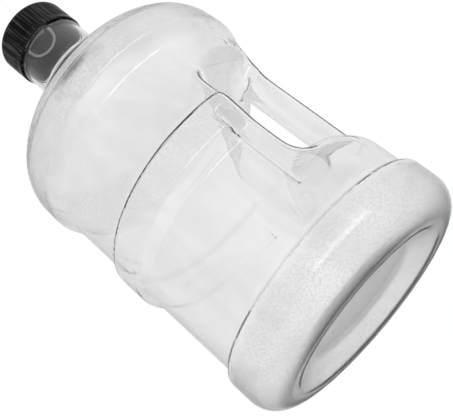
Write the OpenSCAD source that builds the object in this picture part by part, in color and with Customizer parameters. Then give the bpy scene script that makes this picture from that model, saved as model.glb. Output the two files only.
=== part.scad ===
// One gallon water jug: blow-moulded body with a side handle, and a screw cap.
// The jug stands on z = 0 with its neck on the Z axis and its handle towards +X.

/* [Body] */
// Radius of the wide bands at the base and round the middle
band_r = 80; // [72:0.5:84]
// Radius of the lower waist, where a label would go
waist_r = 75.5; // [68:0.5:77]
// Radius of the upper waist, between the middle band and the shoulder
upper_waist_r = 76; // [68:0.5:77]
// Radius of the shoulder band
shoulder_r = 81; // [78:0.5:84]
// Radius of the rounded heel under the base band
heel_round = 16.5; // [12:0.5:18]
// Height at which the base band ends
base_band_top = 31; // [26:0.5:34]
// Height at which the middle band reaches its full radius
middle_band_bottom = 101.5; // [98:0.5:104]
// Height of the middle band's sharp upper corner
middle_band_top = 122; // [118:0.5:126]
// Height at which the upper waist starts to widen to the shoulder
shoulder_flare_bottom = 168; // [166:0.5:172]
// Height at which the shoulder band starts
shoulder_band_bottom = 179.5; // [176:0.5:182]
// Height at which the shoulder band starts to turn in
shoulder_band_top = 190; // [187:0.5:194]
// Radius of the rounded shoulder corner
shoulder_round = 26; // [20:0.5:32]
// Slope of the dome above the shoulder, measured from the horizontal
dome_slope = 40; // [34:1:46]
// Thickness of the blown wall
wall = 1.6; // [1:0.1:2.4]

/* [Base] */
// Height of the pushed-up centre of the base above the foot
push_up = 8; // [4:0.5:12]
// Radius of the flat centre of the base
centre_r = 42; // [30:1:46]
// Inner radius of the foot ring
foot_inner_r = 57; // [50:1:59]

/* [Handle] */
// Distance of the hand recess's flat floor from the neck axis
floor_x = 27.5; // [24:0.5:34]
// Height of the lower edge of the recess and of the panels beside it
recess_bottom = 53; // [48:1:56]
// Height of the recess's upper edge on the outside of the jug
recess_top = 163; // [158:1:166]
// Height of the soft lower rim's inner side
rim_height = 17; // [12:1:20]
// Rise of the recess's lower ramp behind the handle
lower_rise = 16; // [12:1:22]
// Radius of the recess's soft lower corners, seen from the side
corner_round = 14; // [8:0.5:18]
// Height of those corners above the recess's lower edge
corner_height = 13; // [10:0.5:16]
// Drop of the recess's upper ramp behind the handle
upper_drop = 18; // [12:1:22]
// Distance of the handle bar's inner face from the neck axis
bar_inner_x = 56; // [52:0.5:60]
// Distance of the handle bar's outer face from the neck axis
bar_outer_x = 72; // [68:0.5:74]
// Width of the handle bar
bar_w = 25; // [20:0.5:30]
// Radius of the handle bar's long corners
bar_round = 6; // [3:0.5:8]
// Height above the recess's lower edge at which the bar's lower root turns in
root_low = 11; // [8:0.5:14]
// Height below the recess's upper edge at which the bar's upper root turns in
root_high = 1; // [0:0.5:6]
// Angle from the handle at which the slightly sunk side panels begin
panel_angle = 80; // [76:1:86]
// Depth of the side panels below the lower waist
panel_depth = 1.1; // [0.6:0.1:1.4]

/* [Neck] */
// Outer radius of the plain part of the neck
neck_r = 24.5; // [23:0.1:25.5]
// Radius of the mouth
mouth_r = 20.5; // [18:0.1:21]
// Height of the neck above the line where the straight dome meets it
neck_h = 50.9; // [44:0.1:56]
// Outer radius of the neck between the threads
thread_root_r = 22.8; // [22.4:0.1:23]
// Height of the threaded part, down from the sealing edge
finish_h = 16.4; // [14:0.1:20]

/* [Cap] */
// Outer radius of the cap over its ribs
cap_r = 26.3; // [26:0.1:28]
// Wall between the cap's rib roots and its bore
cap_wall = 1.1; // [0.9:0.1:1.2]
// Height of the cap
cap_h = 23; // [21:0.5:25]
// Thickness of the cap's top
cap_top_thickness = 1.6; // [1.2:0.1:2.4]
// Radius of the cap's rounded top edge
cap_round = 3; // [1.5:0.1:3.5]
// Height of the plain band at the cap's open end
cap_band_h = 4; // [3:0.5:7]
// Depth of the grip ribs
rib_depth = 0.35; // [0.2:0.05:0.5]
// Number of grip ribs
rib_count = 90; // [60:2:120]
// Thickness of the sealing disc inside the cap
liner_thickness = 1; // [0.6:0.1:1.6]
// Gap between the sealing disc's edge and the cap's bore
liner_gap = 0.4; // [0.3:0.1:0.8]

/* [Hidden] */
$fn = 96;

// Degrees of a rounded corner for each straight step
arc_step = 12;
// How far cutting shapes run past the surfaces they cut
over = 1;
// Fillet of an edge that the mould leaves crisp
crisp = 1;
// Fillet of an edge that the mould leaves soft
soft = 4;
// Height over which the bands step down to the waists
band_step = 4;
// Height over which the lower waist widens to the middle band
middle_flare = 8;
// Radius beyond everything that is cut
reach = shoulder_r + 20;
// Depth of the soft lower rim
rim_depth = 6;
// Slope of the panels' soft upper edges
panel_slope = 3;
// Fall of the recess's lower side for each millimetre that it goes out, seen from the side
corner_fall = 0.15;
// How far the bar's roots stay under the jug's skin
root_sink = 0.4;
// Rise of the bar's lower root for each millimetre that it goes in
root_low_slope = 1.3;
// Drop of the bar's upper root for each millimetre that it goes in, near the skin
root_high_slope = 5;
// The same drop nearer the bar's rounded corners
root_corner_slope = 1.5;

// Where the rounded shoulder ends and the straight dome starts
dome_start = [
    shoulder_r - shoulder_round * (1 - sin(dome_slope)),
    shoulder_band_top + shoulder_round * cos(dome_slope)
];
// Where the straight dome meets the line of the neck
dome_end_z = dome_start.y + (dome_start.x - neck_r) * tan(dome_slope);
// Height of the neck's sealing edge
neck_top = dome_end_z + neck_h;
// Height of the ledge under the threaded part
finish_bottom = neck_top - finish_h;

clear = [0.86, 0.9, 0.92, 0.45];
black = [0.09, 0.09, 0.1];
ivory = [0.9, 0.89, 0.85];

function unit(v) = v / norm(v);
function flat(p) = [p.x, p.y];

// Points of the arc that rounds corner b, between its neighbours a and c
function corner(a, b, c, fillet) =
    let (
        u = unit(flat(a) - flat(b)),
        v = unit(flat(c) - flat(b)),
        half = acos(u * v) / 2,
        centre = flat(b) + unit(u + v) * fillet / sin(half),
        start = flat(b) + u * fillet / tan(half) - centre,
        sweep = (180 - 2 * half) * sign(cross(v, u)),
        steps = ceil(abs(sweep) / (fillet > crisp ? arc_step : 3 * arc_step))
    )
    [
        for (i = [0:steps])
            let (turn = sweep * i / steps)
            centre + [
                start.x * cos(turn) - start.y * sin(turn),
                start.x * sin(turn) + start.y * cos(turn)
            ]
    ];

// Open line of [x, y, fillet] points with its inner corners rounded
function rounded(line) = [
    for (i = [0:len(line) - 1])
        let (inner = i > 0 && i < len(line) - 1 && line[i].z > 0)
        each inner ? corner(line[i - 1], line[i], line[i + 1], line[i].z) : [flat(line[i])]
];

// The same open line moved to its left by a distance, with its fillets adjusted
function inset(line, by) = [
    for (i = [0:len(line) - 1])
        let (
            before = unit(flat(line[max(i, 1)]) - flat(line[max(i, 1) - 1])),
            next = min(i + 1, len(line) - 1),
            after = unit(flat(line[next]) - flat(line[next - 1])),
            n1 = [-before.y, before.x],
            n2 = [-after.y, after.x],
            move = (n1 + n2) / (1 + n1 * n2) * by,
            fillet = line[i].z - by * sign(cross(before, after))
        )
        [line[i].x + move.x, line[i].y + move.y, line[i].z > 0 ? max(fillet, crisp / 2) : 0]
];

// Outline of the jug from the centre of its base up to the foot of its neck
body_line = [
    [0, push_up, 0],
    [centre_r, push_up, 6],
    [foot_inner_r, 0, 2],
    [band_r, 0, heel_round],
    [band_r, base_band_top, crisp],
    [waist_r, base_band_top + band_step, crisp],
    [waist_r, middle_band_bottom - middle_flare, soft],
    [band_r, middle_band_bottom, soft],
    [band_r, middle_band_top, crisp],
    [upper_waist_r, middle_band_top + band_step / 2, crisp],
    [upper_waist_r, shoulder_flare_bottom, soft * 2],
    [shoulder_r, shoulder_band_bottom, soft],
    [shoulder_r, shoulder_band_top + shoulder_round * tan(45 - dome_slope / 2), shoulder_round],
    [neck_r, dome_end_z, 2 * soft]
];

// Outline of the threaded neck above the dome
neck_line = [
    [neck_r, finish_bottom, crisp / 2],
    [thread_root_r, finish_bottom + crisp, crisp / 2],
    [thread_root_r, neck_top, 0]
];

// Solid of revolution inside the jug's skin, less a given thickness
module turned_form(inward) {
    line = inward == 0
        ? concat(body_line, neck_line)
        : concat(inset(body_line, inward), [[mouth_r, neck_top + over, 0]]);
    points = rounded(line);
    rotate_extrude()
        polygon(concat(points, [[0, points[len(points) - 1].y]]));
}

// Section of the round lower ramp, from inside the jug out over its soft rim
function ramp_line(outward) =
    let (
        rim_r = waist_r - rim_depth,
        rim_z = recess_bottom + rim_height,
        rise = lower_rise / (rim_r - floor_x),
        start_r = floor_x / 2
    )
    inset([
        [start_r, rim_z + (rim_r - start_r) * rise, 0],
        [rim_r, rim_z, 2 * soft],
        [waist_r - rim_depth / 3, recess_bottom + rim_height / 2, 2 * soft],
        [reach, recess_bottom + rim_height / 2 - (reach - waist_r) * rim_height / rim_depth * 1.5, 0]
    ], -outward);

// Side view of the recess's soft lower corner, its flat floor and the flat ramp above it
function floor_line(outward) =
    let (corner_z = recess_bottom + corner_height)
    inset([
        [reach, corner_z - (reach - floor_x) * corner_fall, 0],
        [floor_x, corner_z, corner_round],
        [floor_x, recess_top - upper_drop, 3 * soft],
        [reach, recess_top + (reach - upper_waist_r) * upper_drop / (upper_waist_r - floor_x), 0]
    ], outward);

// The hand recess, cut from side to side behind the handle
module recess(outward) {
    ramp = rounded(ramp_line(outward));
    floor_side = rounded(floor_line(outward));
    intersection() {
        rotate([90, 0, 0])
            linear_extrude(height = 2 * reach, center = true)
                polygon(floor_side);
        rotate_extrude()
            polygon(concat(ramp, [[reach, neck_top], [ramp[0].x, neck_top]]));
    }
}

// Upright bar behind the jug's skin, with rounded long corners
module upright(inward, outer_x) {
    side = bar_w / 2 - inward;
    outer = outer_x - inward;
    inner = bar_inner_x + inward;
    round_r = bar_round - inward;
    translate([0, 0, recess_bottom - 2 * soft])
        linear_extrude(height = recess_top - recess_bottom + 4 * soft)
            union() {
                translate([inner + round_r, -side])
                    square([outer - inner - 2 * round_r, 2 * side]);
                translate([inner, -side + round_r])
                    square([outer - inner, 2 * side - 2 * round_r]);
                for (x = [inner + round_r, outer - round_r], y = [-side + round_r, side - round_r])
                    translate([x, y])
                        circle(r = round_r);
            }
}

// Outline of the bar's roots, which flare out to the jug's skin above and below the recess
function root_line(inward) =
    let (
        low_r = waist_r - root_sink,
        low_z = recess_bottom + root_low,
        high_r = upper_waist_r - root_sink,
        high_z = recess_top - root_high,
        corner_r = bar_outer_x - root_sink,
        corner_z = high_z - (high_r - corner_r) * root_high_slope,
        inner_r = bar_inner_x - over
    )
    inset([
        [low_r, recess_bottom - 2 * soft, 0],
        [low_r, low_z, 3 * soft],
        [inner_r, low_z + (low_r - inner_r) * root_low_slope, soft],
        [inner_r, corner_z - (corner_r - inner_r) * root_corner_slope, soft],
        [corner_r, corner_z, 3 * soft],
        [high_r, high_z, 2 * soft],
        [high_r, recess_top + 2 * soft, 0]
    ], inward);

// The bar of the handle, standing in the recess on its flared roots
module bar(inward) {
    roots = rounded(root_line(inward));
    axis_r = bar_inner_x / 2;
    upright(inward, bar_outer_x);
    intersection() {
        upright(inward, waist_r + over);
        rotate_extrude()
            polygon(concat(roots, [[axis_r, roots[len(roots) - 1].y], [axis_r, roots[0].y]]));
    }
}

// Ring sectors that sink the side panels beside the recess
module panels(inward) {
    sunk_r = waist_r - panel_depth - inward;
    reach_angle = panel_angle + inward / waist_r * 180 / PI;
    panel_spread = 40;
    sunk_top = middle_band_bottom - soft;
    for (side = [-1, 1])
        rotate([0, 0, side * (reach_angle - panel_spread / 2) - panel_spread / 2])
            rotate_extrude(angle = panel_spread)
                polygon([
                    [sunk_r, recess_bottom - inward],
                    [reach, recess_bottom - inward - reach + sunk_r],
                    [reach, sunk_top + (reach - sunk_r) * panel_slope],
                    [sunk_r, sunk_top]
                ]);
}

// Everything inside the jug's skin, less a given thickness
module form(inward) {
    difference() {
        turned_form(inward);
        recess(inward);
        panels(inward);
    }
    bar(inward);
}

module bottle() {
    color(clear)
        difference() {
            form(0);
            form(wall);
        }
}

// Star outline of the cap's ribs
function rib_outline(outer) = [
    for (i = [0:rib_count - 1], k = [[0, 0], [0.15, 1], [0.5, 1], [0.65, 0]])
        let (
            turn = 360 * (i + k.x) / rib_count,
            r = outer - rib_depth * (1 - k.y)
        )
        [r * cos(turn), r * sin(turn)]
];

cap_bottom = neck_top + liner_thickness + cap_top_thickness - cap_h;
cap_bore_r = cap_r - rib_depth - cap_wall;

module cap() {
    shell_r = cap_r - rib_depth;
    groove = 0.6;
    color(black)
        translate([0, 0, cap_bottom])
            difference() {
                union() {
                    rotate_extrude()
                        polygon(rounded([
                            [0, 0, 0],
                            [cap_r, 0, 0.5],
                            [cap_r, cap_band_h, 0.3],
                            [shell_r, cap_band_h, 0],
                            [shell_r, cap_h, cap_round],
                            [0, cap_h, 0]
                        ]));
                    translate([0, 0, cap_band_h + groove])
                        linear_extrude(height = cap_h - cap_round - cap_band_h - groove)
                            polygon(rib_outline(cap_r));
                }
                translate([0, 0, -over])
                    cylinder(r = cap_bore_r, h = cap_h - cap_top_thickness + over);
            }
}

module liner() {
    color(ivory)
        translate([0, 0, neck_top])
            cylinder(r = cap_bore_r - liner_gap, h = liner_thickness);
}

bottle();
cap();
liner();
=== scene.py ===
"""Dresses a clear one gallon water jug: its blown body, its ribbed screw cap and its sealing disc."""

from __future__ import annotations

import logging
import math
from dataclasses import dataclass

import bmesh
import bpy
from mathutils import Matrix, Vector
from mathutils.bvhtree import BVHTree

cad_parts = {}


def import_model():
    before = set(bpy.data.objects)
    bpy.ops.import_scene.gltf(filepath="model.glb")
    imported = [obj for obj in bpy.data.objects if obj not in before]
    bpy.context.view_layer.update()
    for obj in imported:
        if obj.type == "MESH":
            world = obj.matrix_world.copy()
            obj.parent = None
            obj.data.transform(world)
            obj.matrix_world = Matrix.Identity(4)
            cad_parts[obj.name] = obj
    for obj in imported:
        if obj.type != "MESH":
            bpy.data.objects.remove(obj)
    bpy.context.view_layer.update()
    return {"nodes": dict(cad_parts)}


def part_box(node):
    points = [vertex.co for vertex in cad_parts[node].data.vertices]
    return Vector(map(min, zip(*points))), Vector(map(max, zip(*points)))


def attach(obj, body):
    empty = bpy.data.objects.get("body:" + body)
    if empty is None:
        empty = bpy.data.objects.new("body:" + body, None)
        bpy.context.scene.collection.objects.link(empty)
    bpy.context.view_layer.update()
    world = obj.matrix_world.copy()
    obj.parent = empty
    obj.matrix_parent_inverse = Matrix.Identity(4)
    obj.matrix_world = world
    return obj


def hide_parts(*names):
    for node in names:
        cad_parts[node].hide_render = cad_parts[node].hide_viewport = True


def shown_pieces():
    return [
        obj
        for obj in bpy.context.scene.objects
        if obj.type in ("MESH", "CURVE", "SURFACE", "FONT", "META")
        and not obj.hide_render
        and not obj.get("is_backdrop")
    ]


LOG = logging.getLogger("water_jug")
MM = 0.001
SMOOTHING = {"factor": 0.5, "use_axis_x": True, "use_axis_y": True, "use_axis_z": True}


def metres(lengths_mm: tuple[float, ...]) -> tuple[float, ...]:
    """Turns lengths in millimetres to metres."""
    return tuple(length * MM for length in lengths_mm)


def linear(hex_colour: str) -> tuple[float, float, float, float]:
    """Turns an sRGB hex colour to the linear colour that the shaders take.

    Args:
        hex_colour: Six hex digits, such as "E9E9E9".

    Returns:
        Red, green, blue and an alpha of 1.
    """
    channels = [int(hex_colour[i : i + 2], 16) / 255 for i in (0, 2, 4)]
    return (*[c / 12.92 if c <= 0.04045 else ((c + 0.055) / 1.055) ** 2.4 for c in channels], 1.0)


def add_node(
    tree: bpy.types.NodeTree, kind: str, settings: dict | None = None, links: dict | None = None
) -> bpy.types.Node:
    """Adds one node to a tree.

    Args:
        tree: The node tree that gets the node.
        kind: Blender's name of the node type.
        settings: Values by the name of a node property, or by the name or number of an input socket.
        links: Output sockets by the name or number of the input socket that each one feeds.

    Returns:
        The new node.
    """
    node = tree.nodes.new(kind)
    for name, value in (settings or {}).items():
        if isinstance(name, str) and name in node.bl_rna.properties:
            setattr(node, name, value)
        else:
            node.inputs[name].default_value = value
    for name, source in (links or {}).items():
        tree.links.new(source, node.inputs[name])
    return node


def add_band(
    tree: bpy.types.NodeTree, value: bpy.types.NodeSocket, edges: tuple[float, ...], fade: float
) -> bpy.types.NodeSocket:
    """Adds a soft-edged band over a value.

    Args:
        tree: The node tree.
        value: Socket with the value.
        edges: Values at which the band starts and ends.
        fade: Width inside each edge over which the band reaches its full strength.

    Returns:
        Socket with 1 in the band and 0 outside it.
    """
    low, high = edges
    rising, falling = (
        add_node(
            tree,
            "ShaderNodeMapRange",
            {
                "interpolation_type": "SMOOTHSTEP",
                "From Min": start,
                "From Max": start + fade,
                "To Min": before,
                "To Max": 1.0 - before,
            },
            {"Value": value},
        ).outputs["Result"]
        for start, before in ((low, 0.0), (high - fade, 1.0))
    )
    return add_node(tree, "ShaderNodeMath", {"operation": "MULTIPLY"}, {0: rising, 1: falling}).outputs[0]


def add_radius(tree: bpy.types.NodeTree, place: bpy.types.NodeSocket) -> bpy.types.NodeSocket:
    """Adds a point's distance from the jug's axis.

    Args:
        tree: The node tree.
        place: Socket with the point.

    Returns:
        Socket with the distance in metres.
    """
    level = add_node(
        tree, "ShaderNodeVectorMath", {"operation": "MULTIPLY", 1: (1, 1, 0)}, {0: place}
    ).outputs[0]
    return add_node(tree, "ShaderNodeVectorMath", {"operation": "LENGTH"}, {0: level}).outputs["Value"]


def new_material(name: str) -> tuple[bpy.types.Material, bpy.types.NodeTree, bpy.types.Node]:
    """Makes an empty node material.

    Args:
        name: The finish's name.

    Returns:
        The material, its node tree and its output node.
    """
    material = bpy.data.materials.new(name)
    material.use_nodes = True
    tree = material.node_tree
    tree.nodes.clear()
    return material, tree, add_node(tree, "ShaderNodeOutputMaterial")


def dress(obj: bpy.types.Object, material: bpy.types.Material) -> None:
    """Gives an object one material in place of those it has.

    Args:
        obj: The object.
        material: The material.
    """
    obj.data.materials.clear()
    obj.data.materials.append(material)


def add_object(name: str, mesh: bmesh.types.BMesh) -> bpy.types.Object:
    """Turns a bmesh into an object at the origin and frees the bmesh.

    Args:
        name: The name of the object and of its mesh.
        mesh: The finished bmesh.

    Returns:
        The new object, linked to the scene.
    """
    data = bpy.data.meshes.new(name)
    mesh.to_mesh(data)
    mesh.free()
    obj = bpy.data.objects.new(name, data)
    bpy.context.scene.collection.objects.link(obj)
    return obj


@dataclass(frozen=True)
class BlownPolycarbonate:
    """Blown clear polycarbonate: glossy and colourless, a little grey in the wall, with slow streaks of
    painted shade and stippled bands.
    """

    name: str = "clear_blown_polycarbonate"
    # The tint drifts slowly between these two, painted shade in streaks like those a wavy wall throws
    clear_tint: str = "FDFDFD"
    painted_shade_tint: str = "F5F5F5"
    stipple_tint: str = "EAEAEA"
    wall_grey: str = "808080"
    wall_grey_per_m: float = 26.0
    ior: float = 1.58
    smooth_roughness: float = 0.02
    stipple_roughness: float = 0.12
    # The mould's stipple is finer than this, and is drawn as coarse as it needs to show
    stipple_mm: float = 1.2
    stipple_detail: float = 2.0
    stipple_detail_strength: float = 0.6
    stipple_depth_mm: float = 0.02
    speckle_range: tuple[float, float] = (0.42, 0.62)
    line_height_mm: float = 199.4
    line_width_mm: float = 0.9
    line_depth_mm: float = 0.12
    # Size, stretch and spread of the painted shade's slow streaks
    drift_mm: float = 34.0
    drift_stretch: float = 0.35
    drift_detail: float = 2.0
    drift_warp: float = 0.5
    drift_range: tuple[float, float] = (0.38, 0.62)
    # Heights and radii of the stippled bands, which go past the jug where the stipple has no edge
    base_heights_mm: tuple[float, float] = (-5.0, 30.0)
    base_radii_mm: tuple[float, float] = (60.0, 100.0)
    shoulder_heights_mm: tuple[float, float] = (176.0, 212.0)
    fade_mm: float = 5.0

    def material(self) -> bpy.types.Material:
        """Builds the finish.

        Returns:
            The material, which is clear apart from its wall's faint grey.
        """
        material, tree, output = new_material(self.name)
        place = add_node(tree, "ShaderNodeTexCoord").outputs["Object"]
        height = add_node(tree, "ShaderNodeSeparateXYZ", links={0: place}).outputs["Z"]
        zone = self._stippled_zone(tree, place, height)
        grain = add_node(
            tree,
            "ShaderNodeTexNoise",
            {
                "Scale": 1 / (self.stipple_mm * MM),
                "Detail": self.stipple_detail,
                "Roughness": self.stipple_detail_strength,
            },
            {"Vector": place},
        ).outputs["Fac"]
        roughness = add_node(
            tree,
            "ShaderNodeMapRange",
            {"To Min": self.smooth_roughness, "To Max": self.stipple_roughness},
            {"Value": zone},
        ).outputs["Result"]
        plastic = add_node(
            tree,
            "ShaderNodeBsdfPrincipled",
            {"IOR": self.ior, "Transmission Weight": 1.0},
            {
                "Base Color": self._tint(tree, place, grain, zone),
                "Roughness": roughness,
                "Normal": self._relief(tree, height, grain, zone),
            },
        ).outputs[0]
        tree.links.new(plastic, output.inputs["Surface"])
        wall = add_node(
            tree,
            "ShaderNodeVolumeAbsorption",
            {"Color": linear(self.wall_grey), "Density": self.wall_grey_per_m},
        ).outputs[0]
        tree.links.new(wall, output.inputs["Volume"])
        return material

    def _stippled_zone(
        self, tree: bpy.types.NodeTree, place: bpy.types.NodeSocket, height: bpy.types.NodeSocket
    ) -> bpy.types.NodeSocket:
        """Marks the stippled bands round the base and the shoulder.

        Args:
            tree: The node tree.
            place: Socket with the point.
            height: Socket with its height in metres.

        Returns:
            Socket with 1 in a stippled band and 0 elsewhere.
        """
        fade = self.fade_mm * MM
        low = add_band(tree, height, metres(self.base_heights_mm), fade)
        wide = add_band(tree, add_radius(tree, place), metres(self.base_radii_mm), fade)
        base = add_node(tree, "ShaderNodeMath", {"operation": "MULTIPLY"}, {0: low, 1: wide}).outputs[0]
        shoulder = add_band(tree, height, metres(self.shoulder_heights_mm), fade)
        return add_node(tree, "ShaderNodeMath", {"operation": "MAXIMUM"}, {0: base, 1: shoulder}).outputs[0]

    def _relief(
        self,
        tree: bpy.types.NodeTree,
        height: bpy.types.NodeSocket,
        grain: bpy.types.NodeSocket,
        zone: bpy.types.NodeSocket,
    ) -> bpy.types.NodeSocket:
        """Adds the stipple and the bottom of the shoulder's line as bump.

        Args:
            tree: The node tree.
            height: Socket with the height in metres.
            grain: Socket with the stipple's grain.
            zone: Socket with 1 in a stippled band.

        Returns:
            Socket with the normal.
        """
        line_height, line_width = metres((self.line_height_mm, self.line_width_mm))
        stipple = add_node(tree, "ShaderNodeMath", {"operation": "MULTIPLY"}, {0: grain, 1: zone}).outputs[0]
        line = add_band(tree, height, (line_height - line_width, line_height + line_width), line_width)
        relief = add_node(
            tree,
            "ShaderNodeMath",
            {"operation": "MULTIPLY_ADD", 1: -self.line_depth_mm / self.stipple_depth_mm},
            {0: line, 2: stipple},
        ).outputs[0]
        return add_node(
            tree, "ShaderNodeBump", {"Distance": self.stipple_depth_mm * MM}, {"Height": relief}
        ).outputs["Normal"]

    def _tint(
        self,
        tree: bpy.types.NodeTree,
        place: bpy.types.NodeSocket,
        grain: bpy.types.NodeSocket,
        zone: bpy.types.NodeSocket,
    ) -> bpy.types.NodeSocket:
        """Adds slow streaks of painted shade, like those a wavy blown wall throws, and the stipple's speckle
        as tint.

        Args:
            tree: The node tree.
            place: Socket with the point.
            grain: Socket with the stipple's grain.
            zone: Socket with 1 in a stippled band.

        Returns:
            Socket with the colour.
        """
        stretched = add_node(
            tree,
            "ShaderNodeVectorMath",
            {"operation": "MULTIPLY", 1: (1, 1, self.drift_stretch)},
            {0: place},
        ).outputs[0]
        drift = add_node(
            tree,
            "ShaderNodeTexNoise",
            {
                "Scale": 1 / (self.drift_mm * MM),
                "Detail": self.drift_detail,
                "Distortion": self.drift_warp,
            },
            {"Vector": stretched},
        ).outputs["Fac"]
        thin, thick = self.drift_range
        # How much painted shade the slow streaks put on the wall
        thickness = add_node(
            tree, "ShaderNodeMapRange", {"From Min": thin, "From Max": thick}, {"Value": drift}
        ).outputs["Result"]
        streak_shaded_tint = add_node(
            tree,
            "ShaderNodeMix",
            {"data_type": "RGBA", 6: linear(self.clear_tint), 7: linear(self.painted_shade_tint)},
            {0: thickness},
        ).outputs[2]
        faint, full = self.speckle_range
        speckle = add_node(
            tree, "ShaderNodeMapRange", {"From Min": faint, "From Max": full}, {"Value": grain}
        ).outputs["Result"]
        mottle = add_node(tree, "ShaderNodeMath", {"operation": "MULTIPLY"}, {0: speckle, 1: zone}).outputs[0]
        return add_node(
            tree,
            "ShaderNodeMix",
            {"data_type": "RGBA", 7: linear(self.stipple_tint)},
            {0: mottle, 6: streak_shaded_tint},
        ).outputs[2]


@dataclass(frozen=True)
class MouldedPolypropylene:
    """Injection-moulded black polypropylene: satin, with painted highlights in paler upright streaks along
    its ribs.
    """

    name: str = "black_moulded_polypropylene"
    colour: str = "030304"
    # The paler colour is a painted highlight on the ribs
    painted_highlight: str = "363637"
    # The painted highlight streaks are drawn about as wide as a rib so that they show
    streak_mm: float = 1.7
    streak_stretch: float = 0.06
    streak_detail: float = 1.0
    streak_range: tuple[float, float] = (0.48, 0.66)
    side_mm: tuple[float, float] = (24.4, 25.2)
    ior: float = 1.49
    specular: float = 0.22
    roughness: tuple[float, float] = (0.16, 0.24)
    grain_mm: float = 0.5
    grain_detail: float = 3.0
    grain_depth_mm: float = 0.012

    def material(self) -> bpy.types.Material:
        """Builds the finish.

        Returns:
            The material, with its painted highlight streaks only on the cap's side.
        """
        material, tree, output = new_material(self.name)
        place = add_node(tree, "ShaderNodeTexCoord").outputs["Object"]
        grain = add_node(
            tree,
            "ShaderNodeTexNoise",
            {"Scale": 1 / (self.grain_mm * MM), "Detail": self.grain_detail},
            {"Vector": place},
        ).outputs["Fac"]
        bump = add_node(
            tree, "ShaderNodeBump", {"Distance": self.grain_depth_mm * MM}, {"Height": grain}
        ).outputs["Normal"]
        smooth, rough = self.roughness
        roughness = add_node(
            tree, "ShaderNodeMapRange", {"To Min": smooth, "To Max": rough}, {"Value": grain}
        ).outputs["Result"]
        plastic = add_node(
            tree,
            "ShaderNodeBsdfPrincipled",
            {"IOR": self.ior, "Specular IOR Level": self.specular},
            {"Base Color": self._colour(tree, place), "Roughness": roughness, "Normal": bump},
        ).outputs[0]
        tree.links.new(plastic, output.inputs["Surface"])
        return material

    def _colour(self, tree: bpy.types.NodeTree, place: bpy.types.NodeSocket) -> bpy.types.NodeSocket:
        """Adds the streaks, which are painted highlights along the ribs.

        Args:
            tree: The node tree.
            place: Socket with the point.

        Returns:
            Socket with the colour.
        """
        upright = add_node(
            tree,
            "ShaderNodeVectorMath",
            {"operation": "MULTIPLY", 1: (1, 1, self.streak_stretch)},
            {0: place},
        ).outputs[0]
        streaks = add_node(
            tree,
            "ShaderNodeTexNoise",
            {"Scale": 1 / (self.streak_mm * MM), "Detail": self.streak_detail},
            {"Vector": upright},
        ).outputs["Fac"]
        faint, full = self.streak_range
        paler = add_node(
            tree, "ShaderNodeMapRange", {"From Min": faint, "From Max": full}, {"Value": streaks}
        ).outputs["Result"]
        inner, outer = metres(self.side_mm)
        side = add_node(
            tree,
            "ShaderNodeMapRange",
            {"From Min": inner, "From Max": outer},
            {"Value": add_radius(tree, place)},
        ).outputs["Result"]
        # Painted highlight streaks, only on the cap's side
        painted_highlight = add_node(tree, "ShaderNodeMath", {"operation": "MULTIPLY"}, {0: side, 1: paler}).outputs[0]
        return add_node(
            tree,
            "ShaderNodeMix",
            {"data_type": "RGBA", 6: linear(self.colour), 7: linear(self.painted_highlight)},
            {0: painted_highlight},
        ).outputs[2]


@dataclass(frozen=True)
class LinerFoam:
    """Closed-cell polyethylene foam sheet: matt charcoal with fine open-cut cells."""

    name: str = "charcoal_liner_foam"
    colour: str = "222223"
    ior: float = 1.5
    roughness: float = 0.85
    cell_mm: float = 0.7
    cell_depth_mm: float = 0.1
    cell_strength: float = 0.6

    def material(self) -> bpy.types.Material:
        """Builds the finish.

        Returns:
            The material.
        """
        material, tree, output = new_material(self.name)
        place = add_node(tree, "ShaderNodeTexCoord").outputs["Object"]
        cells = add_node(
            tree, "ShaderNodeTexVoronoi", {"Scale": 1 / (self.cell_mm * MM)}, {"Vector": place}
        ).outputs["Distance"]
        bump = add_node(
            tree,
            "ShaderNodeBump",
            {"Strength": self.cell_strength, "Distance": self.cell_depth_mm * MM},
            {"Height": cells},
        ).outputs["Normal"]
        foam = add_node(
            tree,
            "ShaderNodeBsdfPrincipled",
            {"Base Color": linear(self.colour), "Roughness": self.roughness, "IOR": self.ior},
            {"Normal": bump},
        ).outputs[0]
        tree.links.new(foam, output.inputs["Surface"])
        return material


@dataclass(frozen=True)
class PaintedHighlightPlastic:
    """Pale finish for the ring under the seal's boss, a painted highlight for the light that the boss's lower
    edge catches: waxy and a little cloudy, with a satin surface.
    """

    name: str = "pale_painted_highlight"
    clear: str = "F4F4F5"
    cloudy: str = "EDEDEE"
    ior: float = 1.5
    cloud_mm: float = 2.5
    cloud_detail: float = 3.0
    cloud_depth_mm: float = 0.03
    roughness: tuple[float, float] = (0.3, 0.42)

    def material(self) -> bpy.types.Material:
        """Builds the finish.

        Returns:
            The material.
        """
        material, tree, output = new_material(self.name)
        place = add_node(tree, "ShaderNodeTexCoord").outputs["Object"]
        clouds = add_node(
            tree,
            "ShaderNodeTexNoise",
            {"Scale": 1 / (self.cloud_mm * MM), "Detail": self.cloud_detail},
            {"Vector": place},
        ).outputs["Fac"]
        colour = add_node(
            tree,
            "ShaderNodeMix",
            {"data_type": "RGBA", 6: linear(self.clear), 7: linear(self.cloudy)},
            {0: clouds},
        ).outputs[2]
        smooth, waxy = self.roughness
        roughness = add_node(
            tree, "ShaderNodeMapRange", {"To Min": smooth, "To Max": waxy}, {"Value": clouds}
        ).outputs["Result"]
        bump = add_node(
            tree, "ShaderNodeBump", {"Distance": self.cloud_depth_mm * MM}, {"Height": clouds}
        ).outputs["Normal"]
        plastic = add_node(
            tree,
            "ShaderNodeBsdfPrincipled",
            {"IOR": self.ior},
            {"Base Color": colour, "Roughness": roughness, "Normal": bump},
        ).outputs[0]
        tree.links.new(plastic, output.inputs["Surface"])
        return material


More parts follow.
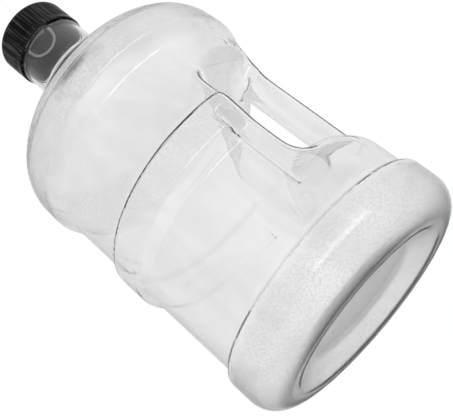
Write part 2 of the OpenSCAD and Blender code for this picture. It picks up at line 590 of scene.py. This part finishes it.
@dataclass(frozen=True)
class FloorPaper:
    """Pale studio paper: matt, and see-through from below."""

    name: str = "pale_paper_floor"
    colour: str = "F4F4F4"
    roughness: float = 0.9

    def material(self) -> bpy.types.Material:
        """Builds the finish.

        Returns:
            The material.
        """
        material, tree, output = new_material(self.name)
        paper = add_node(
            tree, "ShaderNodeBsdfPrincipled", {"Base Color": linear(self.colour), "Roughness": self.roughness}
        ).outputs[0]
        gone = add_node(tree, "ShaderNodeBsdfTransparent").outputs[0]
        below = add_node(tree, "ShaderNodeNewGeometry").outputs["Backfacing"]
        mixed = add_node(tree, "ShaderNodeMixShader", links={0: below, 1: paper, 2: gone}).outputs[0]
        tree.links.new(mixed, output.inputs["Surface"])
        return material


@dataclass
class BlownBody:
    """The jug's blown skin, with the soft edges that the mould leaves and a wall that follows them."""

    node: bpy.types.Object
    wall_mm: float = 1.6
    voxel_mm: float = 2.2
    mouth_rim_mm: float = 2.5
    probe_mm: float = 200.0
    join_mm: float = 0.001
    flat_mm: float = 0.01
    soften_passes: int = 7
    even_passes: int = 2
    even_reach_mm: float = 2.0
    sliver_mm: float = 0.4
    # The hand recess, whose edges are rounded
    recess_x_mm: float = 24.0
    recess_heights_mm: tuple[float, float] = (48.0, 172.0)
    blend_mm: float = 5.0
    # The side panels and what lies under the base aren't turned
    panel_x_mm: float = 11.0
    panel_heights_mm: tuple[float, float] = (50.0, 116.0)
    foot_top_mm: float = 3.0
    hollow_top_mm: float = 12.0
    hollow_r_mm: float = 62.0
    # Angles from the handle and radii of the lines that make the step beside each panel
    crease_heights_mm: tuple[float, float] = (54.0, 95.0)
    creases: tuple[tuple[float, float], ...] = ((80.75, 75.44), (80.1, 75.1), (79.5, 74.76))
    crease_reach_mm: float = 2.0
    # Heights of the loops that keep the bands' edges crisp
    ring_reach_mm: float = 1.0
    profile_blur_mm: float = 1.0
    low_edge_mm: tuple[float, ...] = (29.6, 30.8, 32.0, 33.2, 34.4, 35.6)
    high_edge_mm: tuple[float, ...] = (119.8, 121.0, 122.2, 123.4, 124.6)
    # How far the shoulder's line and the neck's bead stand off the skin at each height
    relief_mm: tuple[tuple[float, float], ...] = (
        (197.8, 0.0),
        (199.0, -0.2),
        (199.8, -0.2),
        (201.0, 0.0),
        (275.6, 0.0),
        (276.9, 0.8),
        (278.3, 0.8),
        (279.4, 0.0),
    )

    def build(self) -> None:
        """Makes and dresses the body, which rides on the jug and stands for the bottle."""
        skin = self._outer_skin()
        surface = BVHTree.FromBMesh(skin)
        mesh = self._even_cells(skin)
        self._soften(mesh, surface)
        self._cut_edges(mesh, surface)
        self._open_mouth(mesh)
        for face in mesh.faces:
            face.smooth = True
        body = add_object("blown_body", mesh)
        wall = body.modifiers.new("wall", "SOLIDIFY")
        wall.thickness = self.wall_mm * MM
        wall.offset = -1.0
        dress(body, BlownPolycarbonate().material())
        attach(body, "jug")
        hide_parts("bottle")

    def _outer_skin(self) -> bmesh.types.BMesh:
        """Takes the outer skin from a merged copy of the solid bottle and closes its mouth.

        Returns:
            The closed skin.
        """
        mesh = bmesh.new()
        mesh.from_mesh(self.node.data)
        bmesh.ops.remove_doubles(mesh, verts=mesh.verts, dist=self.join_mm * MM)
        top = max(v.co.z for v in mesh.verts)
        lip = [f for f in mesh.faces if min(v.co.z for v in f.verts) > top - self.flat_mm * MM]
        bmesh.ops.delete(mesh, geom=lip, context="FACES")
        start = max(mesh.verts, key=lambda v: v.co.xy.length)
        skin, front = {start}, [start]
        while front:
            beside = {e.other_vert(v) for v in front for e in v.link_edges} - skin
            skin |= beside
            front = list(beside)
        bmesh.ops.delete(mesh, geom=[v for v in mesh.verts if v not in skin], context="VERTS")
        bmesh.ops.edgenet_fill(mesh, edges=[e for e in mesh.edges if e.is_boundary])
        bmesh.ops.recalc_face_normals(mesh, faces=mesh.faces)
        return mesh

    def _even_cells(self, skin: bmesh.types.BMesh) -> bmesh.types.BMesh:
        """Remakes the skin in cells of one size.

        Args:
            skin: The closed skin, which is freed.

        Returns:
            The same skin in even cells.
        """
        rough = add_object("body_skin", skin)
        remesh = rough.modifiers.new("even_cells", "REMESH")
        remesh.mode = "VOXEL"
        remesh.voxel_size = self.voxel_mm * MM
        graph = bpy.context.evaluated_depsgraph_get()
        mesh = bmesh.new()
        mesh.from_object(rough, graph)
        bpy.data.meshes.remove(rough.data)
        return mesh

    def _outside_recess(self, place: Vector) -> float:
        """Says how far a point is outside the softened recess.

        Args:
            place: The point.

        Returns:
            0 in the recess and 1 past its blend.
        """
        low, high = self.recess_heights_mm
        past = max(self.recess_x_mm * MM - place.x, low * MM - place.z, place.z - high * MM)
        return min(max(past / (self.blend_mm * MM), 0.0), 1.0)

    def _soften(self, mesh: bmesh.types.BMesh, surface: BVHTree) -> None:
        """Rounds the recess's edges and puts the rest back on the true skin.

        Args:
            mesh: The skin in even cells.
            surface: The solid bottle's outer skin.
        """
        share = {v: self._outside_recess(v.co) for v in mesh.verts}
        recess = [v for v in mesh.verts if share[v] < 1.0]
        for _ in range(self.soften_passes):
            bmesh.ops.smooth_vert(mesh, verts=recess, **SMOOTHING)
        for _ in range(self.even_passes):
            bmesh.ops.smooth_vert(mesh, verts=mesh.verts, **SMOOTHING)
        for vertex, outside in share.items():
            if outside > 0:
                vertex.co = vertex.co.lerp(self._true_place(surface, vertex.co), outside)

    def _cut_edges(self, mesh: bmesh.types.BMesh, surface: BVHTree) -> None:
        """Cuts the panels' creases and the bands' edges, and evens the cells beside them.

        Args:
            mesh: The softened skin.
            surface: The solid bottle's outer skin.
        """
        for side in (-1, 1):
            for azimuth, radius_mm in self.creases:
                self._crease(mesh, side * azimuth, radius_mm * MM)
        edges_mm = (*self.low_edge_mm, *self.high_edge_mm, *(height_mm for height_mm, _ in self.relief_mm))
        heights = [height_mm * MM for height_mm in edges_mm]
        for height in heights:
            self._turn_ring(mesh, self._skin_radius(surface, height), height)
        bmesh.ops.dissolve_degenerate(mesh, dist=self.sliver_mm * MM, edges=mesh.edges)
        bmesh.ops.triangulate(mesh, faces=[f for f in mesh.faces if len(f.verts) > 4])
        reach = self.even_reach_mm * MM
        beside = [
            v
            for v in mesh.verts
            if self._outside_recess(v.co) == 1.0 and min(abs(v.co.z - height) for height in heights) < reach
        ]
        for _ in range(self.even_passes):
            bmesh.ops.smooth_vert(mesh, verts=beside, **SMOOTHING)
            for vertex in beside:
                vertex.co = self._true_place(surface, vertex.co)

    def _open_mouth(self, mesh: bmesh.types.BMesh) -> None:
        """Cuts the skin off under its closed mouth and draws a straight rim up to the bottle's top.

        Args:
            mesh: The closed skin.
        """
        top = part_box("bottle")[1].z
        cut = bmesh.ops.bisect_plane(
            mesh,
            geom=[*mesh.verts, *mesh.edges, *mesh.faces],
            plane_co=(0, 0, top - self.mouth_rim_mm * MM),
            plane_no=(0, 0, 1),
            clear_outer=True,
        )
        mouth = [g for g in cut["geom_cut"] if isinstance(g, bmesh.types.BMEdge)]
        rim = bmesh.ops.extrude_edge_only(mesh, edges=mouth)["geom"]
        for vertex in (g for g in rim if isinstance(g, bmesh.types.BMVert)):
            vertex.co.z = top

    def _true_place(self, surface: BVHTree, place: Vector) -> Vector:
        """Finds where a point belongs on the skin, truly round where the skin is turned.

        Args:
            surface: The solid bottle's outer skin.
            place: The point.

        Returns:
            The nearest point of the skin, at the skin's radius behind the jug where the skin is round.
        """
        near = surface.find_nearest(place)[0]
        low, high = self.panel_heights_mm
        panel = near.x > self.panel_x_mm * MM and low * MM < near.z < high * MM
        foot = near.z < self.foot_top_mm * MM
        hollow = near.z < self.hollow_top_mm * MM and near.xy.length < self.hollow_r_mm * MM
        if panel or foot or hollow:
            return near
        scale = self._skin_radius(surface, near.z) / near.xy.length
        return Vector((near.x * scale, near.y * scale, near.z))

    def _skin_radius(self, surface: BVHTree, height: float) -> float:
        """Measures the skin behind the jug, with its edges as soft as a blown wall's.

        Args:
            surface: The solid bottle's outer skin.
            height: The height in metres.

        Returns:
            The mean radius just below, at and just above that height, with the relief.
        """
        blur = self.profile_blur_mm * MM
        hits = [
            surface.ray_cast(Vector((-self.probe_mm * MM, 0, level)), Vector((1, 0, 0)))[0]
            for level in (height - blur, height, height + blur)
        ]
        radii = [-hit.x for hit in hits if hit]
        return sum(radii) / len(radii) + self._relief(height)

    def _relief(self, height: float) -> float:
        """Says how far the shoulder's line or the neck's bead stands off the skin.

        Args:
            height: The height in metres.

        Returns:
            The distance in metres, below 0 in a groove.
        """
        for (low, start), (high, end) in zip(self.relief_mm, self.relief_mm[1:]):
            if low * MM <= height < high * MM:
                share = (height / MM - low) / (high - low)
                return (start + (end - start) * share) * MM
        return 0.0

    def _crease(self, mesh: bmesh.types.BMesh, azimuth: float, radius: float) -> None:
        """Cuts one upright line beside a side panel and sets it to its radius.

        Args:
            mesh: The closed skin.
            azimuth: The line's angle round the axis, in degrees from the handle.
            radius: The line's radius in metres.
        """
        low, high = metres(self.crease_heights_mm)
        side = math.radians(azimuth)
        middles = ((f, f.calc_center_median()) for f in mesh.faces)
        faces = [f for f, middle in middles if low < middle.z < high and middle.x > 0]
        corners = dict.fromkeys(v for f in faces for v in f.verts)
        edges = dict.fromkeys(e for f in faces for e in f.edges)
        cut = bmesh.ops.bisect_plane(
            mesh,
            geom=[*corners, *edges, *faces],
            dist=self.join_mm * MM,
            plane_co=(0, 0, 0),
            plane_no=(-math.sin(side), math.cos(side), 0),
        )
        ahead = Vector((math.cos(side), math.sin(side)))
        for vertex in (g for g in cut["geom_cut"] if isinstance(g, bmesh.types.BMVert)):
            if vertex.co.xy.dot(ahead) > 0:
                self._pull(vertex, radius, self.crease_reach_mm, 1.0)

    def _turn_ring(self, mesh: bmesh.types.BMesh, radius: float, height: float) -> None:
        """Cuts one level loop round the skin and sets it to its radius, outside the recess.

        Args:
            mesh: The closed skin.
            radius: The loop's radius in metres.
            height: The loop's height in metres.
        """
        cut = bmesh.ops.bisect_plane(
            mesh,
            geom=[*mesh.verts, *mesh.edges, *mesh.faces],
            dist=self.join_mm * MM,
            plane_co=(0, 0, height),
            plane_no=(0, 0, 1),
        )
        for vertex in (g for g in cut["geom_cut"] if isinstance(g, bmesh.types.BMVert)):
            self._pull(vertex, radius, self.ring_reach_mm, self._outside_recess(vertex.co))

    def _pull(self, vertex: bmesh.types.BMVert, radius: float, reach_mm: float, share: float) -> None:
        """Moves a vertex level to a radius, if it is near.

        Args:
            vertex: The vertex.
            radius: The radius in metres.
            reach_mm: The longest way that it is moved.
            share: How much of the way it goes, from 0 to 1.
        """
        off = radius / vertex.co.xy.length - 1
        if abs(off * radius) < reach_mm * MM:
            vertex.co.x *= 1 + off * share
            vertex.co.y *= 1 + off * share


@dataclass
class ScrewCap:
    """The ribbed screw cap, whose solid has the right shape."""

    node: bpy.types.Object

    def build(self) -> None:
        """Dresses the cap."""
        dress(self.node, MouldedPolypropylene().material())


@dataclass
class SealingDisc:
    """The sealing disc, with a short hollow boss under it whose pale rim, a painted highlight for the light
    on the boss's lower edge, shows through the neck.
    """

    node: bpy.types.Object
    boss_r_mm: float = 9.8
    drop_mm: float = 10.0
    sink_mm: float = 0.3
    lip_mm: float = 1.6
    slope_mm: float = 1.0
    hollow_mm: float = 5.0
    rim_r_mm: float = 10.2
    rim_section_r_mm: float = 1.0
    section_steps: int = 12
    ring_steps: int = 64

    def build(self) -> None:
        """Dresses the disc, and makes and dresses its boss and rim, which ride on the seal."""
        foam = LinerFoam().material()
        dress(self.node, foam)
        bottom = min(v.co.z for v in self.node.data.vertices)
        pieces = (
            (self._boss(bottom), foam),
            # The rim's pale finish is a painted highlight for the light on the boss's lower edge
            (self._rim(bottom - self.drop_mm * MM), PaintedHighlightPlastic().material()),
        )
        for piece, material in pieces:
            dress(piece, material)
            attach(piece, "seal")

    def _boss(self, bottom: float) -> bpy.types.Object:
        """Makes the boss, sunk a little into the disc.

        Args:
            bottom: The height of the disc's underside in metres.

        Returns:
            The boss.
        """
        mesh = bmesh.new()
        depth = (self.drop_mm + self.sink_mm) * MM
        bmesh.ops.create_cone(
            mesh,
            cap_ends=True,
            segments=self.ring_steps,
            radius1=self.boss_r_mm * MM,
            radius2=self.boss_r_mm * MM,
            depth=depth,
            matrix=Matrix.Translation((0, 0, bottom + self.sink_mm * MM - depth / 2)),
        )
        end = min(mesh.faces, key=lambda f: f.calc_center_median().z)
        bmesh.ops.inset_region(mesh, faces=[end], thickness=self.lip_mm * MM)
        bmesh.ops.inset_region(mesh, faces=[end], thickness=self.slope_mm * MM, depth=-self.hollow_mm * MM)
        bmesh.ops.recalc_face_normals(mesh, faces=mesh.faces)
        return add_object("disc_boss", mesh)

    def _rim(self, height: float) -> bpy.types.Object:
        """Makes the rim.

        Args:
            height: The rim's height in metres.

        Returns:
            The rim.
        """
        mesh = bmesh.new()
        bmesh.ops.create_circle(
            mesh,
            segments=self.section_steps,
            radius=self.rim_section_r_mm * MM,
            matrix=Matrix.Translation((self.rim_r_mm * MM, 0, height)) @ Matrix.Rotation(math.pi / 2, 4, "X"),
        )
        bmesh.ops.spin(
            mesh,
            geom=[*mesh.verts, *mesh.edges],
            cent=(0, 0, 0),
            axis=(0, 0, 1),
            angle=2 * math.pi,
            steps=self.ring_steps,
            use_merge=True,
        )
        bmesh.ops.recalc_face_normals(mesh, faces=mesh.faces)
        for face in mesh.faces:
            face.smooth = True
        return add_object("disc_rim", mesh)


@dataclass(frozen=True)
class SoftLamp:
    """One soft square lamp that faces the jug and can't be seen in it."""

    name: str
    place_mm: tuple[float, float, float]
    size_mm: float
    watts: float
    aim_mm: tuple[float, float, float] = (0.0, 0.0, 150.0)

    def build(self) -> None:
        """Makes the lamp."""
        data = bpy.data.lights.new(self.name, "AREA")
        data.size = self.size_mm * MM
        data.energy = self.watts
        lamp = bpy.data.objects.new(self.name, data)
        lamp.visible_glossy = False
        lamp.visible_transmission = False
        place = Vector(self.place_mm) * MM
        turn = (place - Vector(self.aim_mm) * MM).to_track_quat("Z", "Y").to_matrix()
        lamp.matrix_world = Matrix.Translation(place) @ turn.to_4x4()
        bpy.context.scene.collection.objects.link(lamp)


@dataclass
class Studio:
    """Camera at the photograph's angle, soft lamps, white surroundings and a pale floor."""

    distance_mm: float = 478.5
    azimuth: float = -100.12
    elevation: float = -23.31
    roll: float = -50.41
    target_mm: tuple[float, float, float] = (-6.7, 1.2, 105.3)
    lens_mm: float = 63.576
    clip_start_mm: float = 10.0
    floor_size_mm: float = 3000.0
    lamps: tuple[SoftLamp, ...] = (
        SoftLamp("key", (-500.0, -500.0, 700.0), 400.0, 5.0),
        SoftLamp("fill", (600.0, -500.0, 300.0), 500.0, 2.5),
    )
    background: str = "FFFFFF"
    ambient: float = 0.6
    # Reflections see a wide soft light on one side, and a narrow level strip on the other
    gloss_way: tuple[float, float, float] = (0.75, 0.35, 0.56)
    gloss_spread: tuple[float, float] = (-0.5, 0.9)
    gloss_range: tuple[float, float] = (0.35, 1.0)
    strip_way: tuple[float, float, float] = (0.28, -0.94, 0.2)
    strip_spread: tuple[float, float] = (0.8, 0.95)
    strip_levels: tuple[float, float] = (0.12, 0.28)
    strip_fade: float = 0.06
    strip_strength: float = 5.0

    def build(self) -> None:
        """Makes everything that isn't part of the jug."""
        self._camera()
        self._world()
        self._floor()
        for lamp in self.lamps:
            lamp.build()

    def _camera(self) -> None:
        """Makes the camera, aimed at its target and then rolled."""
        azimuth, elevation = math.radians(self.azimuth), math.radians(self.elevation)
        level = math.cos(elevation)
        back = Vector((math.cos(azimuth) * level, math.sin(azimuth) * level, math.sin(elevation)))
        camera = bpy.data.objects.new("camera", bpy.data.cameras.new("camera"))
        camera.data.lens = self.lens_mm
        camera.data.clip_start = self.clip_start_mm * MM
        turn = back.to_track_quat("Z", "Y").to_matrix() @ Matrix.Rotation(math.radians(self.roll), 3, "Z")
        place = Vector(self.target_mm) * MM + back * self.distance_mm * MM
        camera.matrix_world = Matrix.Translation(place) @ turn.to_4x4()
        bpy.context.scene.collection.objects.link(camera)
        bpy.context.scene.camera = camera

    def _world(self) -> None:
        """Makes the surroundings: white where they are seen, and softer as a light."""
        world = bpy.data.worlds.new("white_surroundings")
        bpy.context.scene.world = world
        world.use_nodes = True
        tree = world.node_tree
        tree.nodes.clear()
        path = add_node(tree, "ShaderNodeLightPath").outputs
        seen = add_node(
            tree,
            "ShaderNodeMath",
            {"operation": "MAXIMUM"},
            {0: path["Is Transmission Ray"], 1: path["Is Camera Ray"]},
        ).outputs[0]
        light = add_node(tree, "ShaderNodeBackground", {"Strength": self.ambient}).outputs[0]
        gloss = add_node(
            tree, "ShaderNodeBackground", links={"Strength": self._gloss_strength(tree)}
        ).outputs[0]
        white = add_node(tree, "ShaderNodeBackground", {"Color": linear(self.background)}).outputs[0]
        lit = add_node(
            tree, "ShaderNodeMixShader", links={0: path["Is Glossy Ray"], 1: light, 2: gloss}
        ).outputs[0]
        mixed = add_node(tree, "ShaderNodeMixShader", links={0: seen, 1: lit, 2: white}).outputs[0]
        add_node(tree, "ShaderNodeOutputWorld", links={"Surface": mixed})

    def _gloss_strength(self, tree: bpy.types.NodeTree) -> bpy.types.NodeSocket:
        """Adds what reflections see: a wide soft light and a narrow level strip.

        Args:
            tree: The world's node tree.

        Returns:
            Socket with the strength.
        """
        way = add_node(tree, "ShaderNodeTexCoord").outputs["Generated"]
        facing = add_node(
            tree, "ShaderNodeVectorMath", {"operation": "DOT_PRODUCT", 1: self.gloss_way}, {0: way}
        ).outputs["Value"]
        toward = add_node(
            tree, "ShaderNodeVectorMath", {"operation": "DOT_PRODUCT", 1: self.strip_way}, {0: way}
        ).outputs["Value"]
        softbox, along = (
            add_node(
                tree,
                "ShaderNodeMapRange",
                {
                    "interpolation_type": "SMOOTHSTEP",
                    "From Min": spread[0],
                    "From Max": spread[1],
                    "To Min": strengths[0],
                    "To Max": strengths[1],
                },
                {"Value": angle},
            ).outputs["Result"]
            for angle, spread, strengths in (
                (facing, self.gloss_spread, self.gloss_range),
                (toward, self.strip_spread, (0.0, 1.0)),
            )
        )
        level = add_node(tree, "ShaderNodeSeparateXYZ", links={0: way}).outputs["Z"]
        across = add_band(tree, level, self.strip_levels, self.strip_fade)
        strip = add_node(tree, "ShaderNodeMath", {"operation": "MULTIPLY"}, {0: across, 1: along}).outputs[0]
        return add_node(
            tree,
            "ShaderNodeMath",
            {"operation": "MULTIPLY_ADD", 1: self.strip_strength},
            {0: strip, 2: softbox},
        ).outputs[0]

    def _floor(self) -> None:
        """Makes the floor under the foot."""
        mesh = bmesh.new()
        bmesh.ops.create_grid(mesh, x_segments=1, y_segments=1, size=self.floor_size_mm * MM / 2)
        floor = add_object("floor", mesh)
        dress(floor, FloorPaper().material())
        floor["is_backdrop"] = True


def main() -> None:
    """Builds the jug's looks around the frame."""
    logging.basicConfig(level=logging.INFO, format="%(message)s")
    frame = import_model()
    nodes = frame["nodes"]
    for part in (BlownBody(nodes["bottle"]), ScrewCap(nodes["cap"]), SealingDisc(nodes["liner"])):
        part.build()
    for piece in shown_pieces():
        LOG.info("%s: %d faces", piece.name, len(piece.data.polygons))
    Studio().build()
    bpy.context.scene.view_settings.view_transform = "Standard"


if __name__ == "__main__":
    main()
